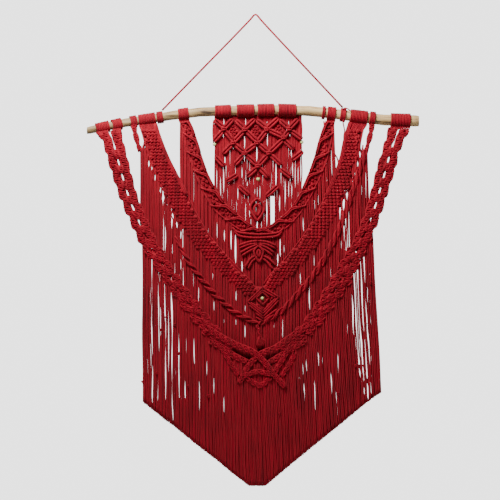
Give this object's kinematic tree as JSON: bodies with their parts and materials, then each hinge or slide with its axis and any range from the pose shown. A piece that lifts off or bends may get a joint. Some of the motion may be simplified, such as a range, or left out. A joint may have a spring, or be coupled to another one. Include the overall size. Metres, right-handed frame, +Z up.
{
  "type": "macrame wall hanging on a wooden branch",
  "caption": "Red cotton macrame wall hanging: layered V-shaped knotted bands over long straight fringe, wound on a wooden branch that hangs from a cord.",
  "frame": {"origin": "the top of the hanging cord, where it bends over the nail or hook that carries it", "axes": "+Z up, +X to the right of someone looking at the front, -Y out of the front, so +Y points at the wall"},
  "size_m": [0.8985, 0.0554, 1.2738],
  "materials": {
    "cotton": "matte twisted cotton cord, deep red",
    "branch_wood": "bare peeled wood, pale brown with darker knots",
    "bead_wood": "small turned wooden beads, pale yellow-green"
  },
  "bodies": {
    "root": {"branch": "branch_wood", "hanging_cord": "cotton", "tie_left": "cotton", "tie_right": "cotton", "centre_panel": "cotton", "inner_panel": "cotton", "middle_panel": "cotton", "outer_panel": "cotton", "bead_left": "bead_wood", "bead_right": "bead_wood", "bead_middle": "bead_wood", "bead_diamond": "bead_wood"}
  },
  "joints": []
}
